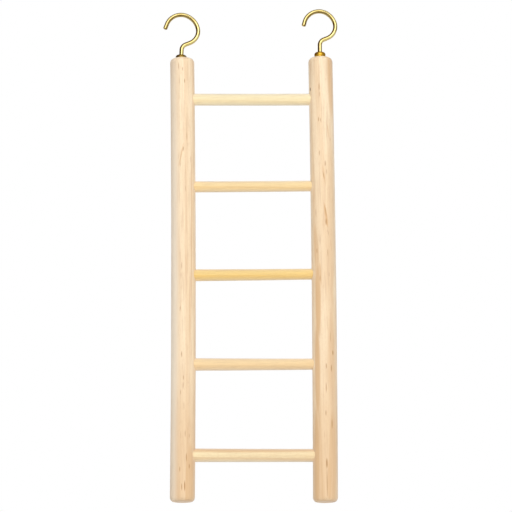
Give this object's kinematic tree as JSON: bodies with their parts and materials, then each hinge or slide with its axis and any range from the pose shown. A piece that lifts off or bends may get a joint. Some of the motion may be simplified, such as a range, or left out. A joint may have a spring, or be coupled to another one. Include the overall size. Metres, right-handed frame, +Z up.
{
  "type": "bird ladder",
  "caption": "Small hanging wooden ladder for a cage bird, with round rails and rungs and a brass screw hook in the top of each rail.",
  "frame": {"origin": "the hanging point: the middle of the ladder, at the mean height of the two places where the hooks bear on what they hang from", "axes": "+Z up along the rails, +X along the rungs towards the right rail, +Y through the ladder away from the viewer; both hooks open towards -X"},
  "size_m": [0.0911, 0.0126, 0.2592],
  "materials": {
    "rail_wood": "bare sanded dowel",
    "rung_wood": "bare sanded dowel, yellower than the rails",
    "hook_brass": "bright plated wire",
    "collar_brass": "bright plated, deeper yellow than the wire"
  },
  "bodies": {
    "root": {"left_rail": "rail_wood", "right_rail": "rail_wood", "rung_1": "rung_wood", "rung_2": "rung_wood", "rung_3": "rung_wood", "rung_4": "rung_wood", "rung_5": "rung_wood", "left_hook": "hook_brass", "right_hook": "hook_brass", "left_collar": "collar_brass", "right_collar": "collar_brass"}
  },
  "joints": []
}
